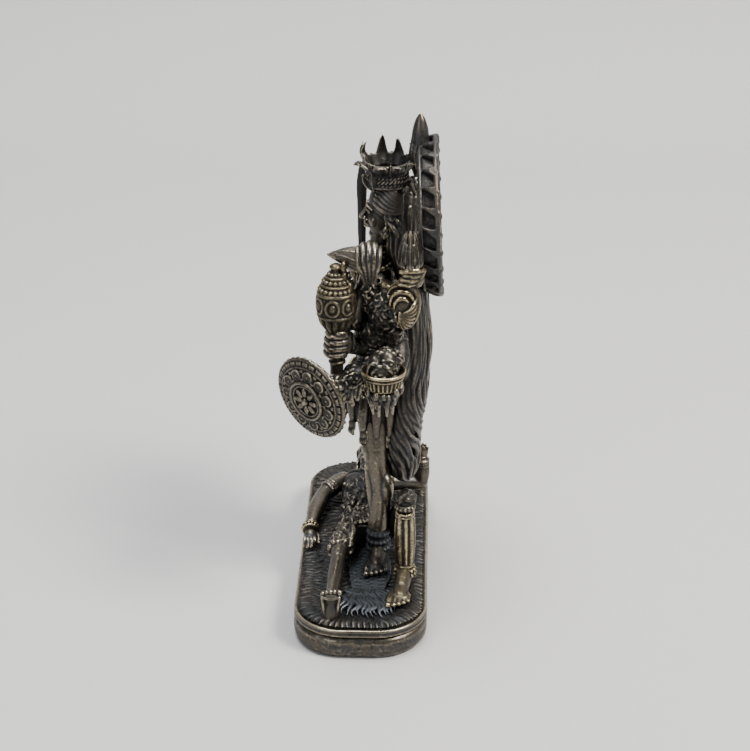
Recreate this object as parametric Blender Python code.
"""A small brass figurine: a ten-armed goddess stands on a reclining man, on a fur hide and a plinth.

It is modelled as the separate castings that are brazed together, one object for each casting.

Frame: +X is the goddess's left, -Y is her front and +Z is up. The origin is the middle of the
plinth's flat underside. Every length in this file is in millimetres; MM turns it into metres.
"""

import math

import bpy
import bmesh
from mathutils import Matrix, Vector

MM = 0.001

# Driving dimensions of the base.
BASE_LENGTH = 80.0
BASE_WIDTH = 30.0
BASE_CORNER = 11.5
PLINTH_HEIGHT = 5.2
DECK_THICKNESS = 1.7
HIDE_THICKNESS = 0.8
APRON_THICKNESS = 0.6
FIT_GAP = 0.3
EDGE_ROUND = 0.6
HIDE_INSET = 1.2

# Heights that follow from them.
DECK_BOTTOM = PLINTH_HEIGHT + FIT_GAP
DECK_TOP = DECK_BOTTOM + DECK_THICKNESS
HIDE_BOTTOM = DECK_TOP + FIT_GAP
HIDE_TOP = HIDE_BOTTOM + HIDE_THICKNESS
GROUND = HIDE_TOP + FIT_GAP
APRON_TOP = GROUND + APRON_THICKNESS
SOLE = APRON_TOP + FIT_GAP

# The goddess stands on these axes: her body's middle plane, and the line through her torso.
BODY_X = -3.0
BODY_Y = 2.5

# Halo and crown.
HALO_CENTRE = Vector((BODY_X, 15.7, 88.6))
HALO_RADIUS = 18.3
HALO_TEETH = 24
HALO_DEPTH = 2.7
HALO_TOOTH = 2.2
HALO_BAND = 4.2
HALO_LEAN = math.radians(2.8)
CROWN_CENTRE = Vector((BODY_X, 5.0, 97.0))
CROWN_LEAVES = 6
CROWN_RADIUS = 4.5
CROWN_WALL = 0.7
CROWN_BAND = 3.4
CROWN_LEAF_HEIGHT = 4.8
CROWN_FLARE = 0.07

# What her left hands hold.
MACE_AXIS = Vector((14.0, -5.6, 0.0))
SHIELD_CENTRE = Vector((24.0, -11.1, 56.0))
SHIELD_RADIUS = 9.8
SHIELD_NORMAL = Vector((0.76, -0.63, -0.15)).normalized()
BOWL_BASE = Vector((22.0, 4.9, 56.8))
CONCH_TIP = Vector((12.0, -7.5, 84.9))
CONCH_AXIS = Vector((0.0, 1.0, -0.12)).normalized()
BUD_AXIS = Vector((15.0, 10.4, 0.0))

# What her right hands hold.
SWORD_AXIS = Vector((-18.0, -1.2, 0.0))
TRIDENT_AXIS = Vector((-22.0, 12.2, 0.0))
DISCUS_CENTRE = Vector((-24.6, 8.6, 71.4))
DRUM_BASE = Vector((-23.6, 4.4, 54.8))

# Edges between faces that turn more than this stay sharp.
SHARP_ANGLE = math.radians(40)

# How far a cutter stands proud of the piece that a neighbour is seated on.
SEAT_GROWTH = 0.4


# ---------------------------------------------------------------- shapes

def skin(rings, closed=False):
    """One closed surface through equal rings: a capped tube, or a ring body when closed."""
    shape = bmesh.new()
    loops = [[shape.verts.new(Vector(point) * MM) for point in ring] for ring in rings]
    pairs = list(zip(loops, loops[1:]))
    if closed:
        pairs.append((loops[-1], loops[0]))
    else:
        shape.faces.new(list(reversed(loops[0])))
        shape.faces.new(loops[-1])
    for low, high in pairs:
        for i in range(len(low)):
            j = (i + 1) % len(low)
            shape.faces.new((low[i], low[j], high[j], high[i]))
    bmesh.ops.recalc_face_normals(shape, faces=shape.faces)
    return shape


def frame_across(axis):
    """Two unit vectors at right angles to the axis and to each other."""
    helper = Vector((0, 0, 1)) if abs(axis.z) < 0.9 else Vector((0, 1, 0))
    across = axis.cross(helper).normalized()
    return across, axis.cross(across).normalized()


def circle(centre, axis, radius, sides):
    """Points of a circle about an axis."""
    u, v = frame_across(axis)
    turns = [2 * math.pi * k / sides for k in range(sides)]
    return [centre + radius * (math.cos(t) * u + math.sin(t) * v) for t in turns]


def turned(profile, base, axis=Vector((0, 0, 1)), sides=14):
    """A turned solid; the profile lists (height along the axis, radius)."""
    return skin([circle(base + axis * height, axis, radius, sides) for height, radius in profile])


def turned_ring(profile, base, axis=Vector((0, 0, 1)), sides=16):
    """A turned ring; the profile is a closed loop of (height, radius)."""
    rings = [circle(base + axis * height, axis, radius, sides) for height, radius in profile]
    return skin(rings, closed=True)


def limb(points, radii, sides=8):
    """A tapered round limb along a chain of points, with blunt rounded ends."""
    points = [Vector(point) for point in points]
    tangents = []
    for i in range(len(points)):
        before, after = points[max(i - 1, 0)], points[min(i + 1, len(points) - 1)]
        tangents.append((after - before).normalized())
    u, v = frame_across(tangents[0])
    rings = []
    for i, (point, tangent, radius) in enumerate(zip(points, tangents, radii)):
        u = (u - tangent * u.dot(tangent)).normalized()
        v = tangent.cross(u)
        stations = [(0.0, 1.0)]
        if i == 0:
            stations = [(-0.62, 0.6), (0.0, 1.0)]
        if i == len(points) - 1:
            stations = [(0.0, 1.0), (0.62, 0.6)]
        for shift, shrink in stations:
            middle = point + tangent * shift * radius
            turns = [2 * math.pi * k / sides for k in range(sides)]
            rings.append([middle + radius * shrink * (math.cos(t) * u + math.sin(t) * v)
                          for t in turns])
    return skin(rings)


def oval_stack(sections, along="z", sides=12):
    """A body through ovals stacked along z or x: (position, centre, centre, half, half)."""
    rings = []
    for position, centre_u, centre_v, half_u, half_v in sections:
        ring = []
        for k in range(sides):
            turn = 2 * math.pi * k / sides
            u = centre_u + half_u * math.cos(turn)
            v = centre_v + half_v * math.sin(turn)
            ring.append((u, v, position) if along == "z" else (position, u, v))
        rings.append(ring)
    return skin(rings)


def ball(centre, radii):
    """An ellipsoid with its axes along x, y and z."""
    shape = bmesh.new()
    place = Matrix.Translation(Vector(centre) * MM) @ Matrix.Diagonal((*(Vector(radii) * MM), 1))
    bmesh.ops.create_uvsphere(shape, u_segments=10, v_segments=7, radius=1.0, matrix=place)
    return shape


def hoop(centre, half_x, half_y, thickness, dip=0.0, steps=24, sides=6):
    """A round-section loop about an oval in the horizontal; dip lowers its front."""
    rings = []
    for k in range(steps):
        turn = 2 * math.pi * k / steps
        outward = Vector((math.cos(turn), math.sin(turn), 0))
        middle = Vector(centre) + Vector((half_x * outward.x, half_y * outward.y, 0))
        middle.z -= dip * max(0.0, -outward.y)
        rings.append([middle + thickness * (math.cos(a) * outward + math.sin(a) * Vector((0, 0, 1)))
                      for a in (2 * math.pi * s / sides for s in range(sides))])
    return skin(rings, closed=True)


def rounded_rectangle(length, width, corner, steps=6):
    """Outline of a rectangle with round corners, as (x, y)."""
    outline = []
    for quarter in range(4):
        sign_x = 1 if quarter in (0, 3) else -1
        sign_y = 1 if quarter in (0, 1) else -1
        middle = Vector((sign_x * (length / 2 - corner), sign_y * (width / 2 - corner)))
        for step in range(steps + 1):
            turn = math.pi / 2 * (quarter + step / steps)
            outline.append((middle.x + corner * math.cos(turn), middle.y + corner * math.sin(turn)))
    return outline


def slab(levels):
    """A plate through (outline, height) levels."""
    return skin([[(x, y, height) for x, y in outline] for outline, height in levels])


# ---------------------------------------------------------------- objects

CAST_ROUGHNESS = 0.42


def finish_of(name, colour):
    """A cast metal finish with its own name."""
    finish = bpy.data.materials.new(name)
    finish.use_nodes = True
    shader = finish.node_tree.nodes["Principled BSDF"]
    shader.inputs["Base Color"].default_value = (*colour, 1.0)
    shader.inputs["Metallic"].default_value = 1.0
    shader.inputs["Roughness"].default_value = CAST_ROUGHNESS
    return finish


DARK = (0.16, 0.145, 0.12)
MID = (0.30, 0.26, 0.20)
WARM = (0.48, 0.38, 0.22)
SKIN_GREY = (0.24, 0.26, 0.28)


def as_object(name, shape, colour=MID):
    """Turns a shape into a named object with its own finish."""
    mesh = bpy.data.meshes.new(name)
    shape.to_mesh(mesh)
    shape.free()
    mesh.materials.append(finish_of(name + "_finish", colour))
    piece = bpy.data.objects.new(name, mesh)
    bpy.context.scene.collection.objects.link(piece)
    return piece


def apply_boolean(piece, tool, operation):
    """Applies an exact Boolean to the piece and removes the tool."""
    modifier = piece.modifiers.new("boolean", "BOOLEAN")
    modifier.solver = "EXACT"
    modifier.operation = operation
    modifier.object = tool
    depsgraph = bpy.context.evaluated_depsgraph_get()
    result = bpy.data.meshes.new_from_object(piece.evaluated_get(depsgraph))
    before = piece.data
    piece.modifiers.clear()
    piece.data = result
    result.name = piece.name
    bpy.data.meshes.remove(before)
    bpy.data.objects.remove(tool)


def fused(name, shapes, colour=MID):
    """One object made of overlapping shapes, joined by Boolean unions."""
    piece = as_object(name, shapes[0], colour)
    for shape in shapes[1:]:
        apply_boolean(piece, as_object("tool", shape), "UNION")
    return piece


def seat(piece_name, *neighbours):
    """Cuts a piece back so that it meets each neighbour with a small even gap."""
    piece = bpy.data.objects[piece_name]
    for name in neighbours:
        cutter_mesh = bpy.data.objects[name].data.copy()
        for vertex, normal in zip(cutter_mesh.vertices, [v.normal.copy() for v in cutter_mesh.vertices]):
            vertex.co += normal * SEAT_GROWTH * MM
        cutter = bpy.data.objects.new("cutter", cutter_mesh)
        bpy.context.scene.collection.objects.link(cutter)
        apply_boolean(piece, cutter, "DIFFERENCE")


# ---------------------------------------------------------------- base

def make_base():
    """Plinth, deck plate, fur hide and the skin laid on it."""
    full = rounded_rectangle(BASE_LENGTH, BASE_WIDTH, BASE_CORNER)
    slim = rounded_rectangle(BASE_LENGTH - 2 * EDGE_ROUND, BASE_WIDTH - 2 * EDGE_ROUND,
                             BASE_CORNER - EDGE_ROUND)
    as_object("plinth", slab([(slim, 0.0), (full, EDGE_ROUND), (full, PLINTH_HEIGHT - EDGE_ROUND),
                              (slim, PLINTH_HEIGHT)]), MID)
    rise = DECK_THICKNESS / 3
    as_object("deck_plate", slab([(slim, DECK_BOTTOM), (full, DECK_BOTTOM + rise),
                                  (full, DECK_TOP - rise), (slim, DECK_TOP)]), MID)
    edge = rounded_rectangle(BASE_LENGTH - 2 * HIDE_INSET, BASE_WIDTH - 2 * HIDE_INSET,
                             BASE_CORNER - HIDE_INSET)
    as_object("hide_rug", slab([(edge, HIDE_BOTTOM), (edge, HIDE_TOP)]), DARK)
    apron = []
    for k in range(20):
        turn = 2 * math.pi * k / 20
        apron.append((18.0 + 10.6 * math.cos(turn), 2.0 + 4.2 * math.sin(turn) - 0.9 * math.cos(turn)))
    as_object("skin_apron", slab([(apron, GROUND), (apron, APRON_TOP)]), SKIN_GREY)


# ---------------------------------------------------------------- reclining figure

def make_reclining_body():
    """Torso, head and hair of the man who lies on his back, head towards -X."""
    as_object("reclining_torso", oval_stack([
        (6.0, 0.0, 11.5, 4.3, 2.6), (3.0, 0.0, 11.8, 5.3, 3.1), (-3.0, 0.0, 11.7, 4.7, 2.9),
        (-9.0, 0.0, 12.1, 5.3, 3.3), (-15.0, 0.0, 12.4, 6.3, 3.6), (-20.0, 0.0, 12.3, 5.9, 3.4),
        (-23.5, 0.0, 12.2, 3.2, 2.5), (-26.5, 0.0, 12.4, 2.2, 2.1)], along="x"), MID)
    as_object("reclining_head", ball((-30.0, 0.0, 12.9), (4.7, 3.8, 4.1)), MID)
    as_object("reclining_hair_bun", ball((-36.0, 0.0, 11.5), (2.7, 3.3, 2.6)), DARK)


def make_reclining_legs():
    """His outstretched right leg and his bent left leg with its greave and bands."""
    as_object("reclining_right_leg", limb(
        [(4.0, -3.2, 12.0), (10.0, -4.8, 12.8), (20.0, -5.7, 12.2), (30.4, -6.2, 11.4)],
        [3.0, 2.9, 2.2, 1.7]), MID)
    as_object("reclining_right_foot", oval_stack([
        (31.4, -6.2, 11.2, 1.6, 1.7), (33.2, -6.2, 11.3, 2.2, 2.3), (35.2, -6.2, 11.6, 2.9, 2.95),
        (36.6, -6.2, 11.6, 2.6, 2.6)], along="x"), WARM)
    as_object("reclining_left_thigh", limb(
        [(4.0, 4.8, 12.0), (10.6, 9.4, 20.6), (18.2, 10.2, 29.6), (20.3, 9.9, 30.0)],
        [3.1, 2.3, 2.1, 1.6]), MID)
    knee = Vector((20.5, 9.8, 0.0))
    as_object("reclining_knee_band", turned(
        [(27.3, 1.8), (27.6, 2.4), (28.2, 2.4), (28.6, 1.8)], knee), WARM)
    as_object("reclining_greave", turned(
        [(12.9, 1.8), (13.5, 2.1), (19.5, 2.3), (26.3, 2.1), (27.0, 1.8)], knee, sides=12), WARM)
    as_object("reclining_anklet", turned_ring(
        [(10.4, 1.6), (10.4, 2.3), (11.1, 2.7), (11.5, 2.4), (12.0, 2.6), (12.6, 2.2),
         (12.6, 1.6)], knee), WARM)
    fused("reclining_left_foot", [
        oval_stack([(17.6, 9.9, 9.3, 1.3, 0.6), (20.0, 9.9, 9.35, 2.0, 0.7),
                    (23.0, 9.6, 9.4, 2.1, 0.75), (25.5, 9.2, 9.9, 2.3, 1.25),
                    (30.0, 8.6, 9.7, 2.9, 1.05), (32.8, 8.3, 9.4, 2.6, 0.75)], along="x"),
        turned([(9.4, 1.3), (12.5, 1.3)], knee, sides=8)], WARM)


def make_reclining_arms():
    """His right arm along his side, and his left arm bent up at the elbow."""
    as_object("reclining_right_arm", limb(
        [(-20.0, -6.2, 12.6), (-14.5, -10.6, 11.4), (-1.5, -12.6, 11.0)], [2.3, 2.0, 1.4]), MID)
    as_object("reclining_wrist_band", turned_ring(
        [(-0.9, 1.35), (-0.9, 1.8), (0.0, 2.05), (0.9, 1.8), (0.9, 1.35)],
        Vector((1.2, -12.9, 10.9)), Vector((1.0, -0.1, -0.04)).normalized(), sides=12), WARM)
    fused("reclining_right_hand", [
        limb([(0.2, -12.8, 10.9), (3.6, -13.1, 10.5)], [0.95, 1.0], sides=6),
        ball((5.6, -12.9, 9.9), (3.0, 1.6, 1.2))], MID)
    as_object("reclining_left_arm", limb(
        [(-20.0, 6.2, 12.6), (-22.0, 13.2, 11.4), (-22.2, 13.6, 17.0)], [2.3, 2.3, 1.5]), MID)
    as_object("reclining_left_hand", ball((-22.2, 13.5, 19.4), (1.9, 1.4, 2.2)), MID)


def make_loincloth():
    """The wrap over the reclining man's hips."""
    as_object("reclining_loincloth", oval_stack([
        (6.4, 0.0, 11.9, 5.2, 3.2), (3.0, 0.0, 12.2, 6.4, 3.8), (-0.8, 0.0, 12.1, 5.8, 3.7)],
        along="x"), DARK)


# ---------------------------------------------------------------- standing figure

def make_standing_legs():
    """Her legs, feet and anklets: the right foot on his chest, the left beside him."""
    as_object("right_leg", limb(
        [(-8.4, 2.4, 48.0), (-11.4, 2.8, 41.0), (-13.6, 2.9, 33.6), (-15.2, 3.2, 27.0),
         (-16.0, 2.4, 19.0)], [4.6, 3.8, 2.8, 3.0, 1.4]), MID)
    as_object("left_leg", limb(
        [(2.4, 2.4, 48.0), (6.0, 3.3, 41.0), (9.4, 3.8, 33.0), (10.4, 4.4, 27.0),
         (11.2, 3.6, 17.6), (11.4, 3.5, 11.4)], [4.6, 3.7, 2.8, 3.1, 1.4, 1.1]), MID)
    stack = [(0.0, 1.6), (0.0, 2.5), (0.9, 3.1), (1.8, 2.5), (1.9, 2.5), (2.8, 3.0), (3.7, 2.4),
             (3.8, 2.4), (4.7, 2.9), (5.6, 2.2), (5.6, 1.6)]
    as_object("left_anklets", turned_ring(stack, Vector((11.35, 3.5, 11.4))), DARK)
    as_object("left_foot", oval_stack([
        (8.8, 3.5, SOLE + 0.6, 1.2, 0.5), (10.4, 3.5, SOLE + 0.7, 1.9, 0.65),
        (13.6, 3.5, SOLE + 0.8, 2.0, 0.75), (15.6, 3.4, SOLE + 1.3, 2.0, 1.25),
        (18.8, 3.2, SOLE + 1.0, 2.3, 0.95), (20.8, 3.1, SOLE + 0.7, 1.8, 0.6)], along="x"), MID)
    chest_top = 16.5
    as_object("right_foot", oval_stack([
        (-13.4, 2.4, chest_top + 0.8, 1.3, 0.6), (-15.6, 2.4, chest_top + 1.0, 1.9, 0.9),
        (-19.0, 2.4, chest_top + 1.2, 2.0, 1.1), (-22.4, 2.3, chest_top + 0.9, 2.2, 0.8),
        (-24.4, 2.3, chest_top + 0.7, 1.7, 0.5)], along="x"), MID)
    as_object("right_anklets", turned_ring(
        stack[:7] + [(3.7, 1.6)], Vector((-15.9, 2.5, 18.9))), DARK)


def make_standing_torso():
    """Her torso with the neck, and her head."""
    as_object("torso", oval_stack([
        (47.2, BODY_X, BODY_Y, 6.6, 4.0), (50.0, BODY_X, BODY_Y, 8.0, 4.7),
        (53.5, BODY_X, BODY_Y, 6.2, 3.9), (57.0, BODY_X, BODY_Y, 5.0, 3.4),
        (62.0, BODY_X, BODY_Y, 6.0, 3.9), (67.0, BODY_X, BODY_Y - 0.3, 7.0, 4.4),
        (72.0, BODY_X, BODY_Y, 7.6, 4.2), (75.6, BODY_X, BODY_Y, 6.6, 3.4),
        (78.0, BODY_X, BODY_Y, 3.0, 2.4), (81.0, BODY_X, BODY_Y + 0.2, 2.1, 2.1),
        (85.0, BODY_X, BODY_Y + 1.0, 2.1, 2.1)]), MID)
    fused("head", [ball((BODY_X, 5.5, 92.2), (5.0, 5.6, 6.4)),
                   ball((BODY_X, 4.1, 88.2), (3.9, 4.1, 5.6))], MID)


def make_hair_cape():
    """The mass of loose hair down her back, ending in a point behind her left knee."""
    as_object("hair_cape", oval_stack([
        (97.2, BODY_X, 9.3, 2.6, 1.9), (93.0, BODY_X, 9.6, 5.4, 2.9), (86.0, BODY_X, 10.2, 6.2, 2.6),
        (80.0, BODY_X, 10.4, 7.0, 2.7), (74.0, BODY_X, 10.8, 8.0, 3.2), (66.0, BODY_X, 11.2, 8.8, 3.7),
        (58.0, BODY_X, 11.4, 9.2, 3.8), (50.0, BODY_X + 0.2, 10.9, 10.0, 3.7),
        (43.0, BODY_X + 0.6, 9.8, 10.6, 4.1), (36.0, BODY_X + 2.0, 9.0, 9.8, 4.0),
        (30.0, BODY_X + 4.2, 9.4, 6.4, 3.1), (25.6, BODY_X + 6.0, 10.2, 1.6, 1.0)]), DARK)


def make_crown():
    """A band that rises into pointed leaves."""
    leaf_shape = (1.0, 0.55, 0.2, 0.0, 0.2, 0.55)
    columns = CROWN_LEAVES * len(leaf_shape)
    rings = [[], [], [], []]
    for k in range(columns):
        turn = math.pi / 2 + 2 * math.pi * k / columns
        out = Vector((math.cos(turn), math.sin(turn), 0))
        top = CROWN_BAND + CROWN_LEAF_HEIGHT * leaf_shape[k % len(leaf_shape)]
        inner = CROWN_RADIUS - CROWN_WALL
        for ring, radius, height in zip(rings, (CROWN_RADIUS, CROWN_RADIUS, inner, inner),
                                        (0.0, top, top, 0.0)):
            ring.append(CROWN_CENTRE + out * (radius + CROWN_FLARE * height) + Vector((0, 0, height)))
    as_object("crown", skin(rings, closed=True), WARM)


def make_halo():
    """The toothed ring behind her head, and the leaf that stands before its top."""
    columns = HALO_TEETH * 4
    lean = Matrix.Rotation(HALO_LEAN, 3, "X")
    rings = [[], [], [], []]
    for k in range(columns):
        turn = 2 * math.pi * k / columns
        out = Vector((math.cos(turn), 0, math.sin(turn)))
        tooth = (0.0, 0.5, 1.0, 0.5)[k % 4]
        rim = HALO_RADIUS - HALO_TOOTH * (1.0 - tooth)
        bore = HALO_RADIUS - HALO_BAND
        for ring, radius, depth in zip(rings, (rim, rim, bore, bore),
                                       (-HALO_DEPTH / 2, HALO_DEPTH / 2, HALO_DEPTH / 2, -HALO_DEPTH / 2)):
            ring.append(HALO_CENTRE + lean @ (out * radius + Vector((0, depth, 0))))
    as_object("halo_ring", skin(rings, closed=True), MID)
    as_object("halo_leaf", turned(
        [(0.0, 1.0), (2.5, 1.9), (6.0, 2.2), (9.5, 1.9), (12.0, 1.1), (13.6, 0.3)],
        Vector((BODY_X - 0.8, 12.2, 98.2)), sides=10), MID)


def make_ornaments():
    """Her necklace, garland, girdle and the skirt of hanging forearms."""
    as_object("necklace", hoop((BODY_X, BODY_Y - 0.6, 77.9), 4.9, 4.5, 0.7, dip=2.2), WARM)
    garland = limb([(2.6, -3.4, 73.6), (3.4, -4.2, 67.0), (2.4, -4.0, 59.0), (0.6, -6.2, 51.5),
                    (-3.0, -7.6, 46.0), (-6.6, -6.2, 51.5), (-8.4, -4.0, 59.0), (-9.4, -4.2, 67.0),
                    (-8.6, -3.4, 73.6)], [1.0] * 9, sides=6)
    as_object("garland", garland, MID)
    as_object("girdle", hoop((BODY_X, BODY_Y, 50.6), 9.3, 5.9, 0.8), WARM)
    arms, cord = [], []
    count = 11
    for k in range(count):
        turn = math.radians(-24 + 228 * k / (count - 1))
        out = Vector((math.cos(turn), -math.sin(turn), 0))
        front = max(0.0, math.sin(turn))
        top = Vector((BODY_X + 11.6 * out.x, BODY_Y + 7.2 * out.y, 48.4))
        length = 8.2 - 4.6 * front
        low = Vector((BODY_X + 13.4 * out.x, BODY_Y + 7.9 * out.y, 48.4 - length))
        cord.append(top)
        arms.append(limb([top, top.lerp(low, 0.55), low], [0.95, 1.15, 1.3], sides=6))
    fused("skirt_of_arms", [limb(cord, [0.6] * count, sides=6)] + arms, MID)


# ---------------------------------------------------------------- arms and what they hold

def make_arm(name, chain, radii, fist_radii, fist_shift=(0.0, 0.0, 0.0)):
    """A bent arm: upper arm and forearm that overlap at the elbow, and a closed fist."""
    fist = Vector(chain[-1]) + Vector(fist_shift)
    fused(name, [limb(chain[:2], radii[:2]), limb(chain[1:], radii[1:]), ball(fist, fist_radii)], MID)


def make_left_arms():
    """Her five left arms, from the front one to the back one."""
    make_arm("arm_left_conch", [(5.2, 1.6, 74.0), (11.0, -1.6, 68.4), (12.0, -0.8, 78.4)],
             [1.9, 1.8, 1.5], (2.4, 3.3, 2.6), (0.0, 1.6, 1.4))
    make_arm("arm_left_mace", [(5.2, 0.8, 71.0), (10.4, 0.4, 62.4), (13.2, -3.6, 63.6)],
             [1.8, 1.7, 1.4], (2.6, 2.9, 3.0), (0.7, -1.9, 0.4))
    make_arm("arm_left_bud", [(5.6, 4.4, 75.0), (14.0, 8.6, 73.4), (15.0, 10.2, 78.4)],
             [2.1, 3.4, 1.8], (2.4, 3.1, 2.2), (0.0, 0.1, 2.6))
    make_arm("arm_left_bowl", [(5.2, 4.6, 71.6), (12.6, 8.2, 61.6), (19.4, 6.0, 54.6)],
             [1.9, 1.8, 1.5], (2.8, 2.6, 1.5), (1.9, -0.6, 0.2))
    make_arm("arm_left_shield", [(5.0, 3.2, 68.6), (12.0, 1.6, 58.6), (18.8, -6.4, 56.2)],
             [1.8, 1.8, 1.5], (2.0, 2.0, 2.0), (1.6, -1.2, 0.0))


def make_right_arms():
    """Her five right arms."""
    make_arm("arm_right_sword", [(-11.2, 1.6, 74.4), (-16.4, -0.8, 66.6), (-18.0, -1.2, 70.4)],
             [1.9, 1.8, 1.5], (2.3, 2.6, 2.3), (0.0, 0.0, 1.6))
    make_arm("arm_right_trident", [(-11.6, 4.4, 75.2), (-18.6, 10.2, 71.6), (-22.0, 12.0, 77.4)],
             [2.1, 2.2, 1.5], (2.2, 2.3, 2.3), (0.0, 0.2, 2.0))
    make_arm("arm_right_discus", [(-11.2, 4.4, 71.6), (-18.2, 8.2, 62.6), (-23.8, 8.8, 62.8)],
             [1.9, 1.8, 1.4], (1.7, 1.6, 1.9), (-0.8, -0.2, 1.6))
    make_arm("arm_right_drum", [(-11.0, 3.2, 68.2), (-17.0, 4.0, 55.4), (-22.0, 4.4, 52.4)],
             [1.8, 1.7, 1.4], (2.3, 2.3, 1.9), (-1.6, 0.0, 0.0))
    make_arm("arm_right_open", [(-10.6, 0.6, 68.4), (-15.4, -2.0, 59.0), (-19.4, -4.8, 56.4)],
             [1.7, 1.6, 1.3], (1.9, 1.2, 2.5), (-0.8, -1.0, -1.4))


def make_mace():
    """Shaft, flared neck, fluted bulb and bead finial, all turned about one upright axis."""
    as_object("mace", turned(
        [(50.0, 1.5), (66.4, 1.5), (67.4, 2.5), (69.6, 3.1), (70.6, 3.9), (74.2, 4.2),
         (77.2, 3.9), (80.0, 2.6), (81.8, 1.4), (82.6, 1.6), (83.6, 0.7)], MACE_AXIS), WARM)


def make_shield():
    """A domed round shield with a raised boss."""
    as_object("shield", turned(
        [(-0.9, SHIELD_RADIUS - 0.8), (-0.2, SHIELD_RADIUS), (0.3, SHIELD_RADIUS), (1.4, 7.2),
         (2.0, 4.4), (2.7, 3.9), (2.9, 1.0)], SHIELD_CENTRE, SHIELD_NORMAL, sides=24), WARM)


def make_bowl():
    """A small footed bowl and the head that lies in it."""
    as_object("bowl", turned(
        [(0.0, 2.4), (0.5, 2.9), (2.6, 3.9), (4.4, 4.4), (5.0, 4.8), (5.6, 4.5), (5.2, 4.0),
         (3.4, 3.3), (2.0, 2.0)], BOWL_BASE, sides=18), WARM)
    as_object("bowl_contents", ball(BOWL_BASE + Vector((0.0, 0.0, 7.0)), (3.5, 3.6, 4.2)), MID)


def make_conch():
    """A horn-shaped conch that points forward."""
    as_object("conch", turned(
        [(0.0, 0.3), (2.4, 1.2), (5.4, 2.5), (8.4, 3.1), (10.6, 2.7), (11.6, 1.5)],
        CONCH_TIP, CONCH_AXIS, sides=12), MID)


def make_bud():
    """A closed flower bud on a short stem."""
    as_object("flower_bud", turned(
        [(76.4, 0.6), (83.0, 0.6), (83.8, 1.8), (86.2, 2.5), (88.8, 1.9), (90.6, 0.9), (91.5, 0.3)],
        BUD_AXIS, sides=10), MID)


def make_sword():
    """A straight sword held upright, its edges to the sides."""
    x, y = SWORD_AXIS.x, SWORD_AXIS.y
    as_object("sword", oval_stack([
        (66.4, x, y, 0.9, 0.9), (67.2, x, y, 0.7, 0.7), (75.0, x, y, 0.7, 0.7),
        (75.2, x, y, 2.8, 1.0), (76.2, x, y, 2.8, 1.0), (76.4, x, y, 1.6, 0.55),
        (91.0, x, y, 2.0, 0.5), (95.4, x, y, 0.4, 0.2)], sides=8), DARK)


def make_trident():
    """A shaft with three upright prongs."""
    shaft = turned([(60.0, 0.8), (88.0, 0.7), (93.4, 0.7), (97.6, 0.2)], TRIDENT_AXIS, sides=8)
    x, y = TRIDENT_AXIS.x, TRIDENT_AXIS.y
    prongs = limb([(x - 2.3, y, 94.6), (x - 2.6, y, 90.4), (x - 1.2, y, 88.2), (x + 1.2, y, 88.2),
                   (x + 2.6, y, 90.4), (x + 2.3, y, 94.6)], [0.25, 0.6, 0.65, 0.65, 0.6, 0.25], sides=6)
    fused("trident", [shaft, prongs], DARK)


def make_discus():
    """A flat discus with a rim, upright above the fist."""
    forward = Vector((0, -1, 0))
    as_object("discus", turned(
        [(-0.6, 3.0), (-0.9, 4.3), (0.0, 4.7), (0.9, 4.3), (0.6, 3.0)], DISCUS_CENTRE, forward,
        sides=16), WARM)


def make_drum():
    """An hourglass hand drum."""
    as_object("hand_drum", turned(
        [(0.0, 2.3), (0.8, 2.6), (3.6, 1.1), (6.4, 2.6), (7.2, 2.3)], DRUM_BASE, sides=12), WARM)


# ---------------------------------------------------------------- assembly

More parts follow.
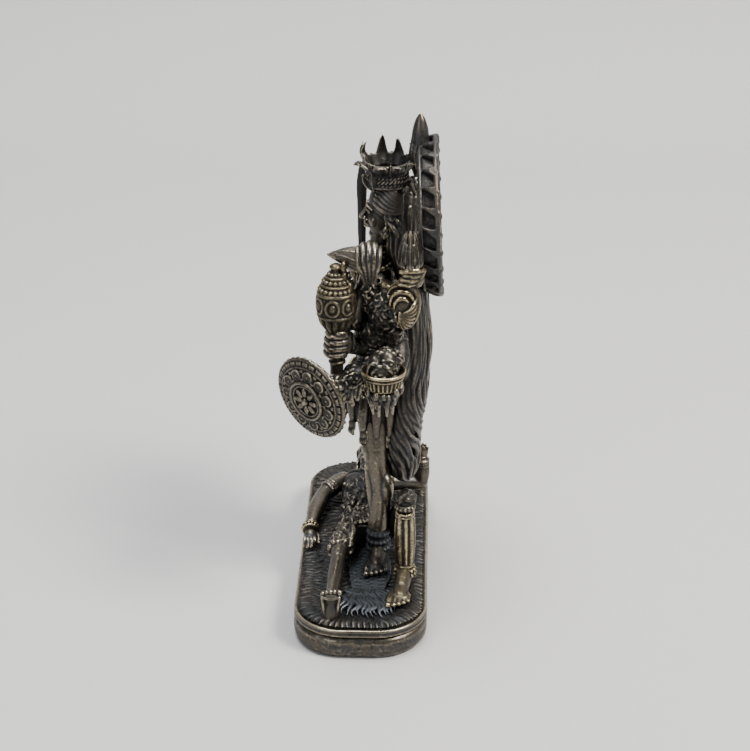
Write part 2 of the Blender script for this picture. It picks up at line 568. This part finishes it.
# Each piece is cut back by the pieces named after it, which stay whole.
SEATS = (
    ("reclining_head", "reclining_torso"),
    ("reclining_hair_bun", "reclining_head"),
    ("reclining_right_leg", "reclining_torso"),
    ("reclining_left_thigh", "reclining_torso", "reclining_knee_band"),
    ("reclining_greave", "reclining_left_thigh"),
    ("reclining_right_foot", "reclining_right_leg"),
    ("reclining_loincloth", "reclining_torso", "reclining_right_leg", "reclining_left_thigh"),
    ("reclining_right_arm", "reclining_torso"),
    ("reclining_left_arm", "reclining_torso"),
    ("reclining_left_hand", "reclining_left_arm"),
    ("reclining_right_hand", "reclining_right_arm"),
    ("right_leg", "torso", "girdle", "right_foot"),
    ("left_leg", "torso", "girdle", "left_foot"),
    ("right_anklets", "right_leg"),
    ("head", "torso"),
    ("hair_cape", "torso", "head", "girdle", "left_leg"),
    ("crown", "head", "hair_cape"),
    ("skirt_of_arms", "left_leg", "right_leg", "hair_cape"),
    ("halo_leaf", "halo_ring", "crown"),
    ("arm_left_conch", "torso", "conch", "mace"),
    ("arm_left_mace", "torso", "mace", "arm_left_conch"),
    ("arm_left_bud", "torso", "flower_bud", "hair_cape", "arm_left_conch"),
    ("arm_left_bowl", "torso", "bowl", "arm_left_bud"),
    ("arm_left_shield", "torso", "shield", "arm_left_bowl", "arm_left_mace"),
    ("arm_right_sword", "torso", "sword"),
    ("arm_right_trident", "torso", "trident", "hair_cape", "arm_right_sword", "discus"),
    ("arm_right_discus", "torso", "discus", "arm_right_trident"),
    ("arm_right_drum", "torso", "hand_drum", "arm_right_discus"),
    ("arm_right_open", "torso", "arm_right_drum"),
    ("bowl_contents", "bowl"),
)


def main():
    """Builds every piece, then seats each one on its neighbours."""
    for old in list(bpy.data.objects):
        bpy.data.objects.remove(old)
    make_base()
    make_reclining_body()
    make_reclining_legs()
    make_reclining_arms()
    make_loincloth()
    make_standing_legs()
    make_standing_torso()
    make_hair_cape()
    make_crown()
    make_halo()
    make_ornaments()
    make_mace()
    make_shield()
    make_bowl()
    make_conch()
    make_bud()
    make_sword()
    make_trident()
    make_discus()
    make_drum()
    make_left_arms()
    make_right_arms()
    for piece, *neighbours in SEATS:
        seat(piece, *neighbours)
    for piece in bpy.context.scene.objects:
        piece.data.shade_smooth()
        piece.data.set_sharp_from_angle(angle=SHARP_ANGLE)


main()
